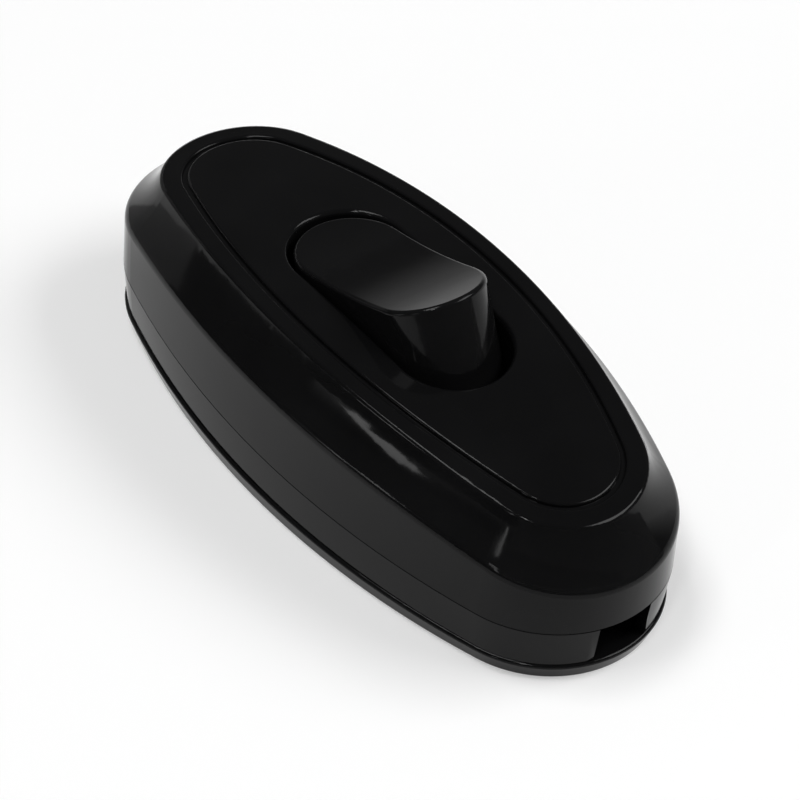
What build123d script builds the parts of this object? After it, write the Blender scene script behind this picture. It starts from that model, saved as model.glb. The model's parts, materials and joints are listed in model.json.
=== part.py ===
from build123d import *
import math
import os

os.makedirs("parts", exist_ok=True)

# Millimetres. X runs along the switch, Z is up, and the origin is under the middle of the flat base.

# Housing outline, half lengths and half widths at named heights
half_length = 40.0
half_width = 16.93
parting_z = 7.13
foot_height = 2.12
foot_half_length = 39.8
foot_half_width = 17.1
base_half_length = 39.04
base_half_width = 16.6
foot_ledge = 0.43
foot_round = 0.33
parting_bevel = 0.06
wall = 1.9

# Shoulder, where the side wall turns into the sloping band
shoulder_half_length = 40.11
shoulder_half_width = 17.11
shoulder_end_z = 12.69
shoulder_side_z = 16.42
shoulder_round = 1.5

# Top edge, where the sloping band meets the crowned panel
top_half_length = 36.1
top_half_width = 13.43
top_end_z = 18.46
top_side_z = 22.09
crown_z = 22.3
crown_length_radius = 171.0
crown_width_radius = 340.0
band_hollow = 0.55
band_end_radius = 15.7
top_edge_round = 0.45

# Ring groove in the panel
ring_half_length = 33.45
ring_half_width = 11.3
ring_end_radius = 7.0
ring_width = 0.5
ring_depth = 0.42
ring_lip_round = 0.3

# Rocker and its well
well_half_length = 15.4
well_half_width = 6.55
well_lip_round = 0.5
well_skirt = 1.4
well_bottom_z = 15.5
pivot_z = 18.0
rocker_tilt = 17.5
rocker_half_length = 12.9
rocker_half_width = 6.15
rocker_top = 7.75
rocker_dish = 1.4
rocker_bottom = -4.5
rocker_draft = 1.1
rocker_edge_round = 0.45
rocker_shell = 1.3
rocker_ceiling = 4.6
trunnion_radius = 1.4
trunnion_reach = 7.7
running_gap = 0.05

# Plunger in the rocker's barrel
barrel_radius = 2.7
barrel_bottom = -5.2
bore_radius = 1.65
bore_top = 4.2
plunger_radius = 1.6
plunger_top = -1.9
plunger_foot = -5.4
nose_radius = 1.0
nose_tip = -9.22
spigot_radius = 0.75
spring_radius = 1.2
spring_wire = 0.2
spring_turns = 6.5

# See-saw contact
see_saw_z = 8.3
see_saw_angle = 6.0
see_saw_half_width = 2.2
strip_thickness = 0.8
dish_half = 1.2
wing_angle = 25.0
wing_end = 6.0
tab_end = 8.4
pin_radius = 0.6
pin_reach = 3.5
rivet_x = 7.2
rivet_head = 0.6
rivet_radius = 1.2
touch_gap = 0.05

# Terminals and clamps
floor = 2.0
pad_z = 2.8
block_inner = 18.0
block_outer = 24.5
block_half_width = 3.25
block_top = 9.3
wire_radius = 1.5
wire_z = 5.4
terminal_screw_radius = 1.35
neutral_y = 10.8
neutral_half_length = 9.0
neutral_half_width = 2.8
neutral_screw_x = 5.5
clamp_x = 30.5
clamp_screw_y = 6.3
clamp_bar_z = 6.85
clamp_bar_thickness = 1.8
clamp_bar_half_length = 8.3
clamp_bar_half_width = 2.25
pillar_radius = 2.0
clamp_screw_radius = 1.05
inlet_half_width = 3.4
post_x = 21.0
post_y = 9.3
post_radius = 2.8
boss_radius = 4.0
boss_top = 7.5
housing_screw_radius = 1.45
screw_seat_z = 2.4

# Heights that follow from the see-saw's shape and swing
swing = math.radians(see_saw_angle)
tab_rise = (wing_end - dish_half) * math.tan(math.radians(wing_angle))
tab_under = tab_rise - strip_thickness / 2
stop_z = see_saw_z - tab_end * math.sin(swing) + tab_under * math.cos(swing) - touch_gap
rivet_drop = (rivet_x + rivet_radius) * math.sin(swing)
contact_z = see_saw_z - rivet_drop + (tab_under - rivet_head) * math.cos(swing)
fixed_pad_z = contact_z - touch_gap - rivet_head


def oval_wire(a, b, r, z):
    """Closed oval of four tangent arcs: half length a, half width b, end radius r."""
    side = ((a - r) ** 2 + b ** 2 - r ** 2) / (2 * (b - r))
    turn = math.atan2(a - r, side - b)
    x = side * math.sin(turn)
    y = b - side + side * math.cos(turn)
    far_side = ThreePointArc((-x, y, z), (0, b, z), (x, y, z))
    right_end = ThreePointArc((x, y, z), (a, 0, z), (x, -y, z))
    near_side = ThreePointArc((x, -y, z), (0, -b, z), (-x, -y, z))
    left_end = ThreePointArc((-x, -y, z), (-a, 0, z), (-x, y, z))
    return Wire([far_side, right_end, near_side, left_end])


def oval_face(a, b, r, z):
    return Face(oval_wire(a, b, r, z))


def oval_loft(lower, upper):
    """Straight-sided body between two ovals given as (a, b, r, z)."""
    return loft([oval_face(*lower), oval_face(*upper)], ruled=True)


def oval_prism(a, b, r, z0, z1):
    return extrude(oval_face(a, b, r, z0), amount=z1 - z0, dir=(0, 0, 1))


def slot_prism(a, b, z0, z1):
    """Upright bar with fully round ends: half length a, half width b."""
    centre = Pos(0, 0, z0) * SlotOverall(2 * a, 2 * b)
    return extrude(centre, amount=z1 - z0)


def block(x0, x1, y0, y1, z0, z1):
    """Box between two opposite corners."""
    middle = Pos((x0 + x1) / 2, (y0 + y1) / 2, (z0 + z1) / 2)
    return middle * Box(x1 - x0, y1 - y0, z1 - z0)


def rod(x, y, z0, z1, radius):
    """Upright round bar."""
    return Pos(x, y, (z0 + z1) / 2) * Cylinder(radius, z1 - z0)


def rod_along_x(x0, x1, y, z, radius):
    return Pos((x0 + x1) / 2, y, z) * Rot(0, 90, 0) * Cylinder(radius, x1 - x0)


def rod_along_y(x, y0, y1, z, radius):
    return Pos(x, (y0 + y1) / 2, z) * Rot(90, 0, 0) * Cylinder(radius, y1 - y0)


def crown_body(drop):
    """Everything below the crowned top surface, lowered by drop."""
    top = crown_z - drop
    width_radius = crown_width_radius - drop
    length_radius = crown_length_radius - drop
    reach = 26.0
    edge_z = top - width_radius + math.sqrt(width_radius ** 2 - reach ** 2)
    arc = ThreePointArc((0, -reach, edge_z), (0, 0, top), (0, reach, edge_z))
    right = Line((0, reach, edge_z), (0, reach, -8))
    base = Line((0, reach, -8), (0, -reach, -8))
    left = Line((0, -reach, -8), (0, -reach, edge_z))
    profile = Face(Wire([arc, right, base, left]))
    axis = Axis((0, 0, top - length_radius), (0, 1, 0))
    start = profile.rotate(axis, -22)
    return revolve(start, axis, 44)


def band_size(z, half, upper_half, low_z, high_z):
    """Half size of the sloping, slightly hollow band at height z."""
    t = (z - low_z) / (high_z - low_z)
    straight = half + (upper_half - half) * t
    if t < 0:
        return straight - 4 * band_hollow * t
    if t > 1:
        return straight + 4 * band_hollow * (t - 1)
    return straight - 4 * band_hollow * t * (1 - t)


def band_body(inset):
    """Body bounded by the sloping band, moved inwards by inset."""
    sections = []
    for z in (10.5, 11.6, 12.7, 14.5, 16.4, 18.4, 20.2, 22.1, 24.5):
        a = band_size(z, shoulder_half_length, top_half_length, shoulder_end_z, top_end_z)
        b = band_size(z, shoulder_half_width, top_half_width, shoulder_side_z, top_side_z)
        rise = z - shoulder_end_z
        r = band_end_radius - 1.28 * rise + 0.06 * rise ** 2
        sections.append(oval_face(a - inset, b - inset, r - inset, z))
    return loft(sections) + extrude(sections[0], amount=6, dir=(0, 0, -1))


def wall_body(inset, z0, z1):
    """Nearly upright side wall of the cover, moved inwards by inset."""
    rise = 0.0197
    low = rise * (z0 - parting_z)
    high = rise * (z1 - parting_z)
    lower = (half_length + low - inset, half_width + low - inset, 13.1 - inset, z0)
    upper = (half_length + high - inset, half_width + high - inset, 12.7 - inset, z1)
    return oval_loft(lower, upper)


def tilted(shape):
    """Turn a shape drawn about the rocker's pivot into its place at rest."""
    return Pos(0, 0, pivot_z) * Rot(0, -rocker_tilt, 0) * shape


def see_saw_placed(shape):
    """Turn a shape drawn about the see-saw's pin into its place at rest."""
    return Pos(0, 0, see_saw_z) * Rot(0, see_saw_angle, 0) * shape


def slotted_screw(radius, length, head_radius, head_height):
    """Screw with its head's underside at z = 0 and its shank below."""
    head = Pos(0, 0, head_height / 2) * Cylinder(head_radius, head_height)
    head = fillet(head.edges().group_by(Axis.Z)[-1], 0.3)
    shank = Pos(0, 0, -length / 2) * Cylinder(radius, length)
    shank = chamfer(shank.edges().group_by(Axis.Z)[0], 0.3)
    slot = Pos(0, 0, head_height) * Box(3 * head_radius, 0.6, 1.2)
    return head + shank - slot


def base_tray():
    foot = oval_loft((base_half_length, base_half_width, 12.4, 0),
                     (foot_half_length, foot_half_width, 13.1, foot_height))
    foot = fillet(foot.edges().group_by(Axis.Z)[-1], foot_round)
    foot = fillet(foot.edges().group_by(Axis.Z)[0], 0.25)
    side = oval_loft((foot_half_length - foot_ledge, foot_half_width - foot_ledge, 12.7, foot_height - 0.4),
                     (half_length, half_width, 13.1, parting_z - parting_bevel))
    rim = (half_length - parting_bevel, half_width - parting_bevel, 13.1 - parting_bevel, parting_z)
    side += oval_loft((half_length, half_width, 13.1, parting_z - parting_bevel), rim)
    tray = foot + side
    tray += oval_prism(half_length - 1.0, half_width - 1.0, 12.1, parting_z - 0.2, parting_z + 1.1)
    tray -= oval_prism(half_length - wall, half_width - wall, 13.1 - wall, floor, parting_z + 2)
    tray -= oval_prism(half_length - 4.5, half_width - 4.5, 8.6, -1, 0.4)
    for end in (-1, 1):
        tray += rod(end * post_x, -end * post_y, 0.4, boss_top, boss_radius)
        for side_y in (-1, 1):
            tray += rod(end * clamp_x, side_y * clamp_screw_y, 1.5, clamp_bar_z - 0.03, pillar_radius)
        tray += block(end * clamp_x - 2, end * clamp_x + 2, -4, 4, 1.5, pad_z)
        for tooth in (-1.2, 0, 1.2):
            ridge = Rot(0, 45, 0) * Box(0.7, 7, 0.7)
            tray += Pos(end * clamp_x + tooth, 0, pad_z) * ridge
    tray += block(18.6, 24.0, -2.6, 2.6, 1.5, pad_z - 0.02)
    tray += block(-24.0, -18.6, -2.6, 2.6, 1.5, pad_z - 0.02)
    tray += block(-2.2, 2.2, -3.2, 3.2, 1.5, pad_z - 0.02)
    tray += block(-8.2, 8.2, neutral_y - 2.4, neutral_y + 2.4, 1.5, pad_z - 0.02)
    for side_y in (-1, 1):
        y = side_y * (block_half_width + 0.5)
        tray += block(18.2, 24.2, y - 0.4, y + 0.4, 1.5, 5.0)
        tray += block(-24.2, -18.2, y - 0.4, y + 0.4, 1.5, 5.0)
        x = side_y * (neutral_half_length + 0.5)
        tray += block(x - 0.4, x + 0.4, neutral_y - 2.6, neutral_y - 1.8, 1.5, 5.0)
        tray += block(x - 0.4, x + 0.4, neutral_y + 1.8, neutral_y + 2.6, 1.5, 5.0)
    tray += block(6.4, 7.9, -0.8, 0.8, 1.5, stop_z)
    tray += block(-8.2, -6.2, -1.6, 1.6, 1.5, fixed_pad_z - 1.45)
    for end in (-1, 1):
        tray -= block(end * 37.5 - 3.5, end * 37.5 + 3.5, -inlet_half_width, inlet_half_width,
                      foot_height, parting_z + 2)
        x = end * post_x
        y = -end * post_y
        tray -= rod(x, y, -1, screw_seat_z, 3.1)
        tray -= rod(x, y, 0, boss_top + 1, housing_screw_radius + 0.15)
        for side_y in (-1, 1):
            tray -= rod(end * clamp_x, side_y * clamp_screw_y, 2.6, 8, clamp_screw_radius + running_gap)
    return tray


def crown_height(x, y):
    """Height of the crowned top surface over a point."""
    arc = crown_length_radius - crown_width_radius + math.sqrt(crown_width_radius ** 2 - y ** 2)
    return crown_z - crown_length_radius + math.sqrt(arc ** 2 - x ** 2)


def ring_groove(body):
    """Cut the narrow oval groove with rounded lips into the crowned top of a body."""
    half = ring_width / 2
    ring = oval_prism(ring_half_length + half, ring_half_width + half, ring_end_radius + half, 16, 26)
    ring -= oval_prism(ring_half_length - half, ring_half_width - half, ring_end_radius - half, 15, 27)
    body = (body - (ring - crown_body(ring_depth))).solid()
    lips = []
    for edge in body.edges():
        box = edge.bounding_box()
        middle = edge @ 0.5
        on_crown = abs(middle.Z - crown_height(middle.X, middle.Y)) < 0.02
        reach_x = max(box.max.X, -box.min.X)
        reach_y = max(box.max.Y, -box.min.Y)
        if on_crown and reach_x < ring_half_length + 1 and reach_y < ring_half_width + 1:
            lips.append(edge)
    return fillet(lips, ring_lip_round)


def top_cover():
    low = parting_z + 0.02
    outer = wall_body(0, low + parting_bevel, 24.4) & band_body(0)
    outer += oval_loft((half_length - parting_bevel, half_width - parting_bevel, 13.1 - parting_bevel, low),
                       (half_length + 0.003, half_width + 0.003, 13.1, low + parting_bevel))
    outer = outer.solid()
    shoulder = outer.edges().filter_by(lambda e: 12 < e.center().Z < 17 and e.bounding_box().size.Z < 6)
    outer = fillet(shoulder, shoulder_round)
    outer = (outer & crown_body(0)).solid()
    top_edges = outer.edges().filter_by(lambda e: e.bounding_box().min.Z > top_end_z - 1)
    outer = fillet(top_edges, top_edge_round)
    outer = ring_groove(outer)
    inner = wall_body(wall, parting_z - 2, 24.4) & band_body(wall + 0.3) & crown_body(wall)
    posts = rod(post_x, -post_y, boss_top + running_gap, 20.3, post_radius)
    posts += rod(-post_x, post_y, boss_top + running_gap, 20.3, post_radius)
    cover = outer - inner + (posts & outer)
    cover += slot_prism(well_half_length + well_skirt, well_half_width + well_skirt, well_bottom_z, 20.9)
    cover -= slot_prism(well_half_length, well_half_width, well_bottom_z - 1, 26)
    high = cover.edges().filter_by(lambda e: e.center().Z > 21.2)
    reach = well_half_length + 0.1
    lip = high.filter_by(lambda e: max(e.bounding_box().max.X, -e.bounding_box().min.X) < reach)
    cover = fillet(lip, well_lip_round)
    cover -= oval_prism(half_length - 0.95, half_width - 0.95, 12.15, parting_z - 1, parting_z + 1.2)
    for end in (-1, 1):
        cover -= rod(end * post_x, -end * post_y, 5, 16.5, housing_screw_radius + running_gap)
    cover -= rod_along_y(0, -9, 9, pivot_z, trunnion_radius + running_gap)
    return cover


def leaning_slot(inset, z0, z1):
    """Round-ended bar whose ends lean in towards the top as the rocker's do, moved inwards by inset."""
    sections = []
    for z in (z0, z1):
        lean = rocker_draft * (rocker_top - z) / (rocker_top - rocker_bottom)
        a = rocker_half_length + lean - inset
        section = Pos(0, 0, z) * SlotOverall(2 * a, 2 * (rocker_half_width - inset))
        sections.append(section.face())
    return loft(sections, ruled=True)


def rocker_button():
    body = leaning_slot(0, rocker_bottom, rocker_top + 1.0)
    reach = rocker_half_length
    dish_radius = (reach ** 2 + rocker_dish ** 2) / (2 * rocker_dish)
    body -= rod_along_y(0, -8, 8, rocker_top - rocker_dish + dish_radius, dish_radius)
    top_edges = body.edges().filter_by(lambda e: e.center().Z > 5.0)
    body = fillet(top_edges, rocker_edge_round)
    body -= leaning_slot(rocker_shell, rocker_bottom - 1, rocker_ceiling)
    body += rod(0, 0, barrel_bottom, rocker_ceiling + 0.5, barrel_radius)
    body += block(-0.5, 0.5, -5.2, 5.2, -1.0, rocker_ceiling + 0.3)
    body += block(-12.5, 12.5, -0.5, 0.5, 1.0, rocker_ceiling + 0.3)
    body += rod_along_y(0, rocker_half_width - 0.4, trunnion_reach, 0, trunnion_radius)
    body += rod_along_y(0, -trunnion_reach, 0.4 - rocker_half_width, 0, trunnion_radius)
    body -= rod(0, 0, barrel_bottom - 1, bore_top, bore_radius)
    return tilted(body)


def plunger():
    body = rod(0, 0, plunger_foot, plunger_top, plunger_radius)
    body += rod(0, 0, plunger_top - 0.1, plunger_top + 1.8, spigot_radius)
    body += rod(0, 0, nose_tip + nose_radius, plunger_foot + 0.1, nose_radius)
    body += Pos(0, 0, nose_tip + nose_radius) * Sphere(nose_radius)
    return tilted(body)


def plunger_spring():
    low = plunger_top + spring_wire + 0.03
    high = bore_top - spring_wire - 0.03
    path = Pos(0, 0, low) * Helix((high - low) / spring_turns, high - low, spring_radius)
    start = path @ 0
    section = Plane(origin=start, z_dir=path % 0) * Circle(spring_wire)
    return tilted(sweep(section, path=path, is_frenet=True))


def see_saw_contact():
    half = strip_thickness / 2
    top = [(-tab_end, tab_rise + half), (-wing_end, tab_rise + half), (-dish_half, half)]
    top += [(-x, z) for x, z in reversed(top)]
    low = [(x, z - strip_thickness) for x, z in reversed(top)]
    outline = Polyline(*[(x, 0, z) for x, z in top + low], close=True)
    strip = extrude(Face(Wire(outline.edges())), amount=see_saw_half_width, dir=(0, 1, 0), both=True)
    for side in (-1, 1):
        near, far = sorted((side * (see_saw_half_width - 0.2), side * pin_reach))
        strip += rod_along_y(0, near, far, 0, pin_radius)
    strip -= rod(-rivet_x, 0, 0, 4, 0.6)
    return see_saw_placed(strip)


def moving_rivet():
    body = rod(-rivet_x, 0, tab_under - rivet_head, tab_under - 0.01, rivet_radius)
    body += rod(-rivet_x, 0, tab_under - 0.1, tab_under + 1.0, 0.58)
    over = tab_under + strip_thickness
    body += rod(-rivet_x, 0, over + 0.01, over + 0.3, 0.9)
    return see_saw_placed(body)


def terminal_block(end):
    """Brass block at one end, with the wire hole along X and the screw hole from above."""
    x0, x1 = sorted((end * block_inner, end * block_outer))
    body = block(x0, x1, -block_half_width, block_half_width, pad_z, block_top)
    body = chamfer(body.edges().filter_by(Axis.Z), 0.4)
    body -= rod_along_x(x0 - 1, x1 + 1, 0, wire_z, wire_radius)
    screw_x = end * (block_inner + block_outer) / 2
    body -= rod(screw_x, 0, wire_z, block_top + 1, terminal_screw_radius + running_gap)
    return body


def line_in_terminal():
    body = terminal_block(1)
    strip = block(-2.6, block_inner + 0.5, -2.2, 2.2, pad_z, pad_z + strip_thickness)
    strip += block(-2.6, 2.6, -3.5, 3.5, pad_z, pad_z + strip_thickness)
    strip -= block(6.15, 8.15, -1.05, 1.05, 2, 4)
    ear_top = see_saw_z + 1.0
    for side_y in (-1, 1):
        y = side_y * 3.1
        ear = block(-1.9, 1.9, y - 0.4, y + 0.4, pad_z, ear_top)
        ear = chamfer(ear.edges().filter_by(Axis.Y).group_by(Axis.Z)[-1], 0.5)
        ear -= rod_along_y(0, y - 1, y + 1, see_saw_z, pin_radius + running_gap)
        notch = pin_radius + running_gap
        ear -= block(-notch, notch, y - 1, y + 1, see_saw_z, ear_top + 1)
        strip += ear
    return body + strip


def line_out_terminal():
    body = terminal_block(-1)
    body += block(-block_inner - 0.5, -10.5, -2.2, 2.2, pad_z, pad_z + strip_thickness)
    body += block(-11.3, -10.5, -2.2, 2.2, pad_z, fixed_pad_z)
    body += block(-11.3, -5.6, -2.2, 2.2, fixed_pad_z - strip_thickness, fixed_pad_z)
    body -= rod(-rivet_x, 0, 5, 8, 0.6)
    return body


def fixed_rivet():
    body = rod(-rivet_x, 0, fixed_pad_z + 0.01, fixed_pad_z + rivet_head, 1.1)
    body += rod(-rivet_x, 0, fixed_pad_z - 1.0, fixed_pad_z + 0.1, 0.58)
    body += rod(-rivet_x, 0, fixed_pad_z - 1.1, fixed_pad_z - strip_thickness - 0.01, 0.9)
    return body


def neutral_connector():
    body = block(-neutral_half_length, neutral_half_length, neutral_y - neutral_half_width,
                 neutral_y + neutral_half_width, pad_z, block_top)
    body = chamfer(body.edges().filter_by(Axis.Z), 0.4)
    body -= rod_along_x(-12, 12, neutral_y, wire_z, wire_radius)
    for end in (-1, 1):
        body -= rod(end * neutral_screw_x, neutral_y, wire_z, 12, terminal_screw_radius + running_gap)
    return body


def cord_clamp(end):
    x = end * clamp_x
    bar = block(x - clamp_bar_half_width, x + clamp_bar_half_width, -clamp_bar_half_length,
                clamp_bar_half_length, clamp_bar_z, clamp_bar_z + clamp_bar_thickness)
    bar = fillet(bar.edges().filter_by(Axis.Z), 1.2)
    for tooth in (-1.0, 1.0):
        bar += Pos(x + tooth, 0, clamp_bar_z) * Rot(0, 45, 0) * Box(0.7, 6, 0.7)
    for side_y in (-1, 1):
        bar -= rod(x, side_y * clamp_screw_y, clamp_bar_z - 1, clamp_bar_z + 3, clamp_screw_radius + 0.2)
    return bar


def clamp_screw(end, side_y):
    screw = slotted_screw(clamp_screw_radius, 5.6, 1.9, 1.4)
    return Pos(end * clamp_x, side_y * clamp_screw_y, clamp_bar_z + clamp_bar_thickness + 0.02) * screw


def terminal_screw(x, y):
    screw = slotted_screw(terminal_screw_radius, 3.0, 1.9, 1.4)
    return Pos(x, y, block_top + 0.3) * screw


def housing_screw(end):
    head = Pos(0, 0, 0.9) * Cylinder(2.7, 1.8)
    head = fillet(head.edges().group_by(Axis.Z)[0], 0.6)
    shank = Pos(0, 0, 1.8 + 5.6) * Cylinder(housing_screw_radius, 11.2)
    shank = chamfer(shank.edges().group_by(Axis.Z)[-1], 0.6)
    screw = head + shank
    for angle in (0, 90):
        screw -= Rot(0, 0, angle) * Pos(0, 0, 0.3) * Box(3.2, 0.7, 1.5)
    return Pos(end * post_x, -end * post_y, screw_seat_z - 1.8 - 0.02) * screw


line_screw_x = (block_inner + block_outer) / 2

parts = {
    "base_tray": base_tray(),
    "top_cover": top_cover(),
    "rocker_button": rocker_button(),
    "plunger": plunger(),
    "plunger_spring": plunger_spring(),
    "see_saw_contact": see_saw_contact(),
    "moving_rivet": moving_rivet(),
    "fixed_rivet": fixed_rivet(),
    "line_in_terminal": line_in_terminal(),
    "line_out_terminal": line_out_terminal(),
    "line_in_screw": terminal_screw(line_screw_x, 0),
    "line_out_screw": terminal_screw(-line_screw_x, 0),
    "neutral_connector": neutral_connector(),
    "neutral_screw_right": terminal_screw(neutral_screw_x, neutral_y),
    "neutral_screw_left": terminal_screw(-neutral_screw_x, neutral_y),
    "cord_clamp_right": cord_clamp(1),
    "cord_clamp_left": cord_clamp(-1),
    "clamp_screw_right_front": clamp_screw(1, -1),
    "clamp_screw_right_back": clamp_screw(1, 1),
    "clamp_screw_left_front": clamp_screw(-1, -1),
    "clamp_screw_left_back": clamp_screw(-1, 1),
    "housing_screw_right": housing_screw(1),
    "housing_screw_left": housing_screw(-1),
}

for name, shape in parts.items():
    export_step(shape, f"parts/{name}.step")
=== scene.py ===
"""Pendant switch: materials, the plunger's spring, floor, light and camera.

All other shapes, and the bodies that the pieces move with, come from the CAD frame. Lengths are
in metres and angles in degrees. An azimuth is counted from the front (-Y) towards the right (+X),
and an elevation up from the floor.
"""

import json
import math

import bpy
from mathutils import Matrix, Quaternion, Vector


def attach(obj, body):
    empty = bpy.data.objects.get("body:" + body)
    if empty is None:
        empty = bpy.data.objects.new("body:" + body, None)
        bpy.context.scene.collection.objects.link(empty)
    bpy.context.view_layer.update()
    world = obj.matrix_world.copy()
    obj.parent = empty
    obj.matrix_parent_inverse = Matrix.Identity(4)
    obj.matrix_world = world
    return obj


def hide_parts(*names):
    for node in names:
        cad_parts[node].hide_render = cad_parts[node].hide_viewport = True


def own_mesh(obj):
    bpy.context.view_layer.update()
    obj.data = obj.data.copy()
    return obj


# Camera, as fitted to the photograph.
CAMERA_AZIMUTH = 49.18
CAMERA_ELEVATION = 42.90
CAMERA_ROLL = 4.587
CAMERA_DISTANCE = 0.55756
CAMERA_AIM = (-0.00519, 0.00567, 0.0)
CAMERA_LENS = 229.77
CAMERA_CLIP = (0.01, 20)
SENSOR_WIDTH = 36.0

# Floor: round and flat out to a share of its radius, where its rim starts to sweep up. It lies a
# little below the object's foot, so that the two don't share a plane. The paper darkens up to a
# share of the rim's height, and the camera and the reflections see it with a glow of its own.
FLOOR_RADIUS = 1.6
FLOOR_FLAT = 0.6
FLOOR_INNER_RING = 0.3
FLOOR_RIM = 0.60
FLOOR_DROP = -0.00002
FLOOR_SIDES = 96
RIM_STEPS = 16
RIM_FADE = 0.6
FLOOR_COLOUR = (0.69, 0.69, 0.69)
RIM_COLOUR = (0.10, 0.10, 0.10)
FLOOR_GLOW = 0.33
PAPER_ROUGHNESS = 0.9

# Painted reflections: grey cards round the front of the object, seen only in reflections, so that
# the black plastic mirrors them and not the far floor. Each has the azimuths from which and to
# which it reaches, its height and how light its grey is.
REFLECTION_CARD_REACH = 0.115
REFLECTION_CARD_STEPS = 12
REFLECTION_CARDS = (
    (-105, -58, 0.060, 0.63),
    (-58, -25, 0.060, 0.11),
    (-25, -12, 0.019, 0.11),
    (-12, 34, 0.030, 0.11),
    (34, 135, 0.060, 0.42),
)

# Lamps: name, azimuth, elevation, distance, width and height, glow, and roll about its own axis.
# A lamp's glow is what a mirror would show of it, where 1 is white. The last two stand low and
# give the sloping band its highlights.
LAMPS = (
    ("overhead", -35, 73, 1.2, (0.56, 0.36), 8.8, 0),
    ("front", 36, 58, 1.2, (0.14, 0.14), 30, 0),
    ("back", 145, 48, 1.4, (0.9, 0.55), 6.7, 0),
    ("window", -16.8, 8.3, 1.2, (0.13, 0.35), 6, -41),
    ("slit", 15, 22, 1.2, (0.05, 0.5), 5, 0),
)
WORLD_COLOUR = (1.0, 1.0, 1.0)
WORLD_STRENGTH = 0.12

# Polished black plastic of the casing and of the button: how light its clouds are, its lowest and
# highest roughness, and what rubs and dust add to that.
BLACK = (0.0040, 0.0040, 0.0042)
BLACK_CLOUDS = 1.35
PLASTIC_IOR = 1.213
HOUSING_ROUGHNESS = (0.07, 0.11)
ROCKER_ROUGHNESS = (0.08, 0.12)
RUB_ROUGHNESS = 0.04
DUST = (0.30, 0.30, 0.29)
DUST_ROUGHNESS = 0.5

# Matt plastics inside: how dark their clouds are and how far their roughness varies, and the colour
# and roughness of each.
MATT_CLOUDS = 0.88
MATT_SPREAD = (-0.05, 0.08)
MATT_PLASTICS = {
    "clamp_plastic": ((0.05, 0.05, 0.05), 0.45),
    "plunger_plastic": ((0.72, 0.70, 0.64), 0.4),
}

# Metals inside: how far their roughness varies, and for each its colour, tarnish and roughness, and
# how its drawn lines are stretched.
METAL_SPREAD = (-0.07, 0.12)
METALS = {
    "spring_steel": ((0.56, 0.56, 0.58), (0.36, 0.35, 0.34), 0.28, (1, 1, 0.1)),
    "contact_brass": ((0.78, 0.58, 0.27), (0.47, 0.31, 0.13), 0.3, (0.08, 1, 1)),
    "contact_silver": ((0.82, 0.81, 0.78), (0.52, 0.49, 0.44), 0.32, (1, 1, 1)),
    "screw_steel": ((0.62, 0.62, 0.60), (0.44, 0.42, 0.36), 0.3, (1, 1, 0.12)),
}


def direction(azimuth, elevation):
    a = math.radians(azimuth)
    e = math.radians(elevation)
    return Vector((math.sin(a) * math.cos(e), -math.cos(a) * math.cos(e), math.sin(e)))


def add(name, data):
    made = bpy.data.objects.new(name, data)
    bpy.context.scene.collection.objects.link(made)
    return made


def add_mesh(name, points, faces, material):
    mesh = bpy.data.meshes.new(name)
    mesh.from_pydata(points, [], faces)
    mesh.materials.append(material)
    return add(name, mesh)


def make_camera():
    back = direction(CAMERA_AZIMUTH, CAMERA_ELEVATION)
    right = (-back).cross(Vector((0, 0, 1))).normalized()
    up = right.cross(-back)
    roll = math.radians(CAMERA_ROLL)
    turned_right = right * math.cos(roll) + up * math.sin(roll)
    turned_up = up * math.cos(roll) - right * math.sin(roll)
    data = bpy.data.cameras.new("camera")
    data.lens = CAMERA_LENS
    data.sensor_width = SENSOR_WIDTH
    data.clip_start, data.clip_end = CAMERA_CLIP
    place = Matrix((turned_right, turned_up, back)).transposed().to_4x4()
    place.translation = Vector(CAMERA_AIM) + back * CAMERA_DISTANCE
    camera = add("camera", data)
    camera.matrix_world = place
    bpy.context.scene.camera = camera


# Materials. A noise or cell pattern has about as many features per metre as its scale says.


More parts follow.
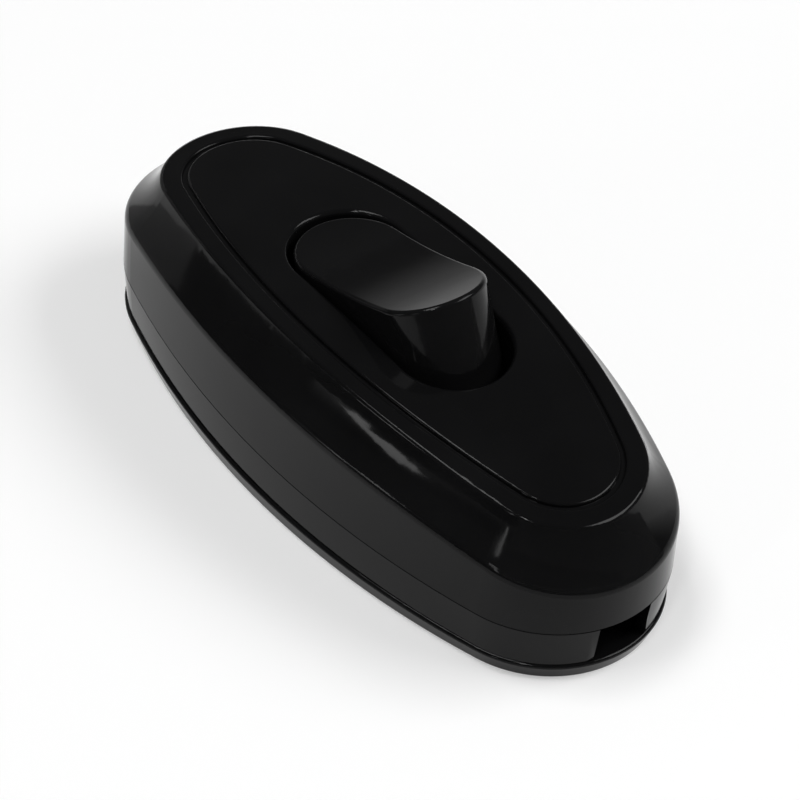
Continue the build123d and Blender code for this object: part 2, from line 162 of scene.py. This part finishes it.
class Graph:
    """Short names for the node calls that every material repeats."""

    def __init__(self, name):
        self.material = bpy.data.materials.new(name)
        self.material.use_nodes = True
        self.tree = self.material.node_tree
        self.tree.nodes.clear()
        self.shader = self.node("ShaderNodeBsdfPrincipled")
        self.place = self.node("ShaderNodeTexCoord").outputs["Object"]
        output = self.node("ShaderNodeOutputMaterial")
        self.join(self.shader.outputs[0], output.inputs["Surface"])

    def node(self, kind):
        return self.tree.nodes.new(kind)

    def join(self, out, socket):
        self.tree.links.new(out, socket)

    def noise(self, scale, detail, rough=0.5, stretch=None):
        node = self.node("ShaderNodeTexNoise")
        node.inputs["Scale"].default_value = scale
        node.inputs["Detail"].default_value = detail
        node.inputs["Roughness"].default_value = rough
        place = self.place
        if stretch:
            mapping = self.node("ShaderNodeMapping")
            mapping.inputs["Scale"].default_value = stretch
            self.join(self.place, mapping.inputs["Vector"])
            place = mapping.outputs[0]
        self.join(place, node.inputs["Vector"])
        return node.outputs["Fac"]

    def cells(self, scale):
        node = self.node("ShaderNodeTexVoronoi")
        node.inputs["Scale"].default_value = scale
        self.join(self.place, node.inputs["Vector"])
        return node.outputs["Distance"]

    def ramp(self, value, low, high, out_low=0.0, out_high=1.0):
        """Spreads low to high over out_low to out_high, and stops there."""
        node = self.node("ShaderNodeMapRange")
        node.inputs["From Min"].default_value = low
        node.inputs["From Max"].default_value = high
        node.inputs["To Min"].default_value = out_low
        node.inputs["To Max"].default_value = out_high
        self.join(value, node.inputs["Value"])
        return node.outputs["Result"]

    def math(self, kind, a, b):
        node = self.node("ShaderNodeMath")
        node.operation = kind
        for value, socket in ((a, node.inputs[0]), (b, node.inputs[1])):
            if isinstance(value, (int, float)):
                socket.default_value = value
            else:
                self.join(value, socket)
        return node.outputs[0]

    def mix(self, factor, a, b):
        """Mixes two colours. A Mix node keeps those in its sockets 6 and 7, and the result in 2."""
        node = self.node("ShaderNodeMix")
        node.data_type = "RGBA"
        self.join(factor, node.inputs[0])
        for value, socket in ((a, node.inputs[6]), (b, node.inputs[7])):
            if isinstance(value, tuple):
                socket.default_value = (*value, 1)
            else:
                self.join(value, socket)
        return node.outputs[2]

    def bump(self, height, distance, under=None):
        node = self.node("ShaderNodeBump")
        node.inputs["Distance"].default_value = distance
        node.inputs["Strength"].default_value = 1.0
        self.join(height, node.inputs["Height"])
        if under is not None:
            self.join(under, node.inputs["Normal"])
        return node.outputs[0]

    def finish(self, colour, roughness, normal, metallic=0.0, ior=1.5):
        self.join(colour, self.shader.inputs["Base Color"])
        self.join(roughness, self.shader.inputs["Roughness"])
        self.join(normal, self.shader.inputs["Normal"])
        self.shader.inputs["Metallic"].default_value = metallic
        self.shader.inputs["IOR"].default_value = ior
        return self.material


def black_plastic(name, roughness):
    """Polished moulded plastic: faint ripple, fine grain, hairline rubs and specks of dust."""
    g = Graph(name)
    ripple = g.noise(scale=210, detail=2)
    grain = g.noise(scale=3400, detail=3)
    rubs = g.noise(scale=900, detail=4, rough=0.6, stretch=(0.06, 1.6, 1.0))
    clouds = g.noise(scale=75, detail=3)
    specks = g.ramp(g.cells(scale=210), 0.035, 0.05, 1.0, 0.0)
    patches = g.ramp(g.noise(scale=48, detail=1), 0.60, 0.66)
    dust = g.math("MULTIPLY", specks, patches)
    lighter = tuple(BLACK_CLOUDS * c for c in BLACK)
    plain = g.mix(g.ramp(clouds, 0.35, 0.65), BLACK, lighter)
    rough = g.ramp(clouds, 0.3, 0.7, *roughness)
    rough = g.math("ADD", rough, g.ramp(rubs, 0.60, 0.75, 0.0, RUB_ROUGHNESS))
    rough = g.math("ADD", rough, g.math("MULTIPLY", dust, DUST_ROUGHNESS))
    normal = g.bump(ripple, distance=0.000003)
    normal = g.bump(grain, distance=0.0000012, under=normal)
    normal = g.bump(rubs, distance=0.0000015, under=normal)
    return g.finish(g.mix(dust, plain, DUST), rough, normal, ior=PLASTIC_IOR)


def matt_plastic(name, colour, roughness):
    """Plain moulded plastic with a fine grain and slightly darker clouds."""
    g = Graph(name)
    clouds = g.noise(scale=240, detail=3)
    grain = g.noise(scale=4200, detail=2)
    darker = tuple(MATT_CLOUDS * c for c in colour)
    shade = g.mix(g.ramp(clouds, 0.3, 0.7), darker, colour)
    rough = g.ramp(clouds, 0.3, 0.7, *(roughness + spread for spread in MATT_SPREAD))
    return g.finish(shade, rough, g.bump(grain, distance=0.000003))


def metal(name, colour, tarnish, roughness, stretch):
    """Pressed or turned metal: drawn lines, tarnish in patches and fine pits."""
    g = Graph(name)
    patches = g.noise(scale=380, detail=4, rough=0.6)
    lines = g.noise(scale=1500, detail=3, rough=0.6, stretch=stretch)
    pits = g.noise(scale=5200, detail=2)
    shade = g.mix(g.ramp(patches, 0.45, 0.75), colour, tarnish)
    rough = g.ramp(lines, 0.3, 0.7, *(roughness + spread for spread in METAL_SPREAD))
    normal = g.bump(lines, distance=0.000004)
    normal = g.bump(pits, distance=0.000002, under=normal)
    return g.finish(shade, rough, normal, metallic=1.0)


def paper(name):
    """Starts a paper without gloss. Its colour is still to be set."""
    g = Graph(name)
    g.shader.inputs["Roughness"].default_value = PAPER_ROUGHNESS
    g.shader.inputs["Specular IOR Level"].default_value = 0.0
    return g


# The object.


def dress(frame, materials):
    """Each solid takes the material of the slot that the record gives it."""
    slots = {part["node"]: part["material_slot"] for part in frame["record"]["subparts"]}
    for name, piece in frame["nodes"].items():
        piece.data.materials.clear()
        piece.data.materials.append(materials[slots[name]])


def shortening_spring(frame, material):
    """The plunger's spring, the same coil as its solid, parented to the rocker's body while the
    solid is hidden.
    """
    solid = frame["nodes"]["plunger_spring"]
    coil = add("spring_coil", solid.data.copy())
    coil.matrix_world = solid.matrix_world.copy()
    coil.data.materials.clear()
    coil.data.materials.append(material)
    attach(coil, "rocker")
    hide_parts("plunger_spring")
    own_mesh(coil)


# Floor, painted reflection cards and light.


def floor_paper():
    """Paper that darkens up the rim, with a glow that only the camera and reflections see."""
    g = paper("floor_paper")
    height = g.node("ShaderNodeSeparateXYZ")
    g.join(g.place, height.inputs[0])
    fade = g.ramp(height.outputs["Z"], 0.0, RIM_FADE * FLOOR_RIM)
    light = g.node("ShaderNodeLightPath").outputs
    seen = g.math("MAXIMUM", light["Is Camera Ray"], light["Is Glossy Ray"])
    seen = g.math("MAXIMUM", seen, light["Is Transmission Ray"])
    g.join(g.mix(fade, FLOOR_COLOUR, RIM_COLOUR), g.shader.inputs["Base Color"])
    g.join(g.mix(fade, (1, 1, 1), RIM_COLOUR), g.shader.inputs["Emission Color"])
    g.join(g.math("MULTIPLY", seen, FLOOR_GLOW), g.shader.inputs["Emission Strength"])
    return g.material


def make_floor():
    """A round floor whose rim sweeps up far from the object."""
    rings = [(FLOOR_INNER_RING, FLOOR_DROP), (FLOOR_RADIUS * FLOOR_FLAT, FLOOR_DROP)]
    for step in range(1, RIM_STEPS + 1):
        turn = math.radians(90 * step / RIM_STEPS)
        reach = FLOOR_RADIUS * (FLOOR_FLAT + (1 - FLOOR_FLAT) * math.sin(turn))
        rings.append((reach, FLOOR_RIM * (1 - math.cos(turn))))
    points = [(0.0, 0.0, FLOOR_DROP)]
    for reach, height in rings:
        for side in range(FLOOR_SIDES):
            angle = math.tau * side / FLOOR_SIDES
            points.append((reach * math.cos(angle), reach * math.sin(angle), height))
    faces = [(0, 1 + side, 1 + (side + 1) % FLOOR_SIDES) for side in range(FLOOR_SIDES)]
    for ring in range(len(rings) - 1):
        inner = 1 + ring * FLOOR_SIDES
        outer = inner + FLOOR_SIDES
        for side in range(FLOOR_SIDES):
            after = (side + 1) % FLOOR_SIDES
            faces.append((inner + side, outer + side, outer + after, inner + after))
    floor = add_mesh("floor", points, faces, floor_paper())
    floor.data.shade_smooth()


def make_reflection_cards():
    """Painted reflections: low upright cards, bent round the object, that only reflections see."""
    for number, (start, end, height, grey) in enumerate(REFLECTION_CARDS):
        g = paper(f"reflection_card_paper_{number}")
        g.shader.inputs["Base Color"].default_value = (grey, grey, grey, 1)
        points = []
        for step in range(REFLECTION_CARD_STEPS + 1):
            foot = direction(start + (end - start) * step / REFLECTION_CARD_STEPS, 0) * REFLECTION_CARD_REACH
            points += [tuple(foot), (foot.x, foot.y, height)]
        faces = [(2 * k, 2 * k + 2, 2 * k + 3, 2 * k + 1) for k in range(REFLECTION_CARD_STEPS)]
        reflection_card = add_mesh(f"card_{number}", points, faces, g.material)
        # Hidden from the camera, diffuse light and shadows: each card only paints its grey into
        # reflections.
        reflection_card.visible_camera = False
        reflection_card.visible_diffuse = False
        reflection_card.visible_shadow = False


def soft_box(name, azimuth, elevation, distance, size, glow, turn):
    """A rectangular lamp that looks at the object from the side that the angles name."""
    data = bpy.data.lights.new(name, "AREA")
    data.shape = "RECTANGLE"
    data.size, data.size_y = size
    data.energy = glow * size[0] * size[1] * math.pi
    back = direction(azimuth, elevation)
    roll = Quaternion((0, 0, 1), math.radians(turn))
    lamp = add(name, data)
    lamp.location = back * distance
    lamp.rotation_mode = "QUATERNION"
    lamp.rotation_quaternion = back.to_track_quat("Z", "Y") @ roll
    lamp.visible_camera = False


def make_light():
    world = bpy.data.worlds.new("studio")
    world.use_nodes = True
    background = world.node_tree.nodes["Background"]
    background.inputs["Color"].default_value = (*WORLD_COLOUR, 1)
    background.inputs["Strength"].default_value = WORLD_STRENGTH
    bpy.context.scene.world = world
    for lamp in LAMPS:
        soft_box(*lamp)


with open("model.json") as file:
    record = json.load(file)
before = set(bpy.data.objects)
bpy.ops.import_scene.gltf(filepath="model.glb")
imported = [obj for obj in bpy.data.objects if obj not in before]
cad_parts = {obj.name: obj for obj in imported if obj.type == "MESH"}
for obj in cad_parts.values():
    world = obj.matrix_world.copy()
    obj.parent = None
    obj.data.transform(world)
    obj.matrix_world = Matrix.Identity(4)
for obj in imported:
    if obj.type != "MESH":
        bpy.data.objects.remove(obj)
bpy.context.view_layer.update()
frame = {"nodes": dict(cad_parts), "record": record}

make_camera()
materials = {
    "housing_plastic": black_plastic("housing_plastic", HOUSING_ROUGHNESS),
    "rocker_plastic": black_plastic("rocker_plastic", ROCKER_ROUGHNESS),
}
materials.update({name: matt_plastic(name, *look) for name, look in MATT_PLASTICS.items()})
materials.update({name: metal(name, *look) for name, look in METALS.items()})
dress(frame, materials)
shortening_spring(frame, materials["spring_steel"])
make_floor()
make_reflection_cards()
make_light()

bpy.context.scene.view_settings.view_transform = "Standard"
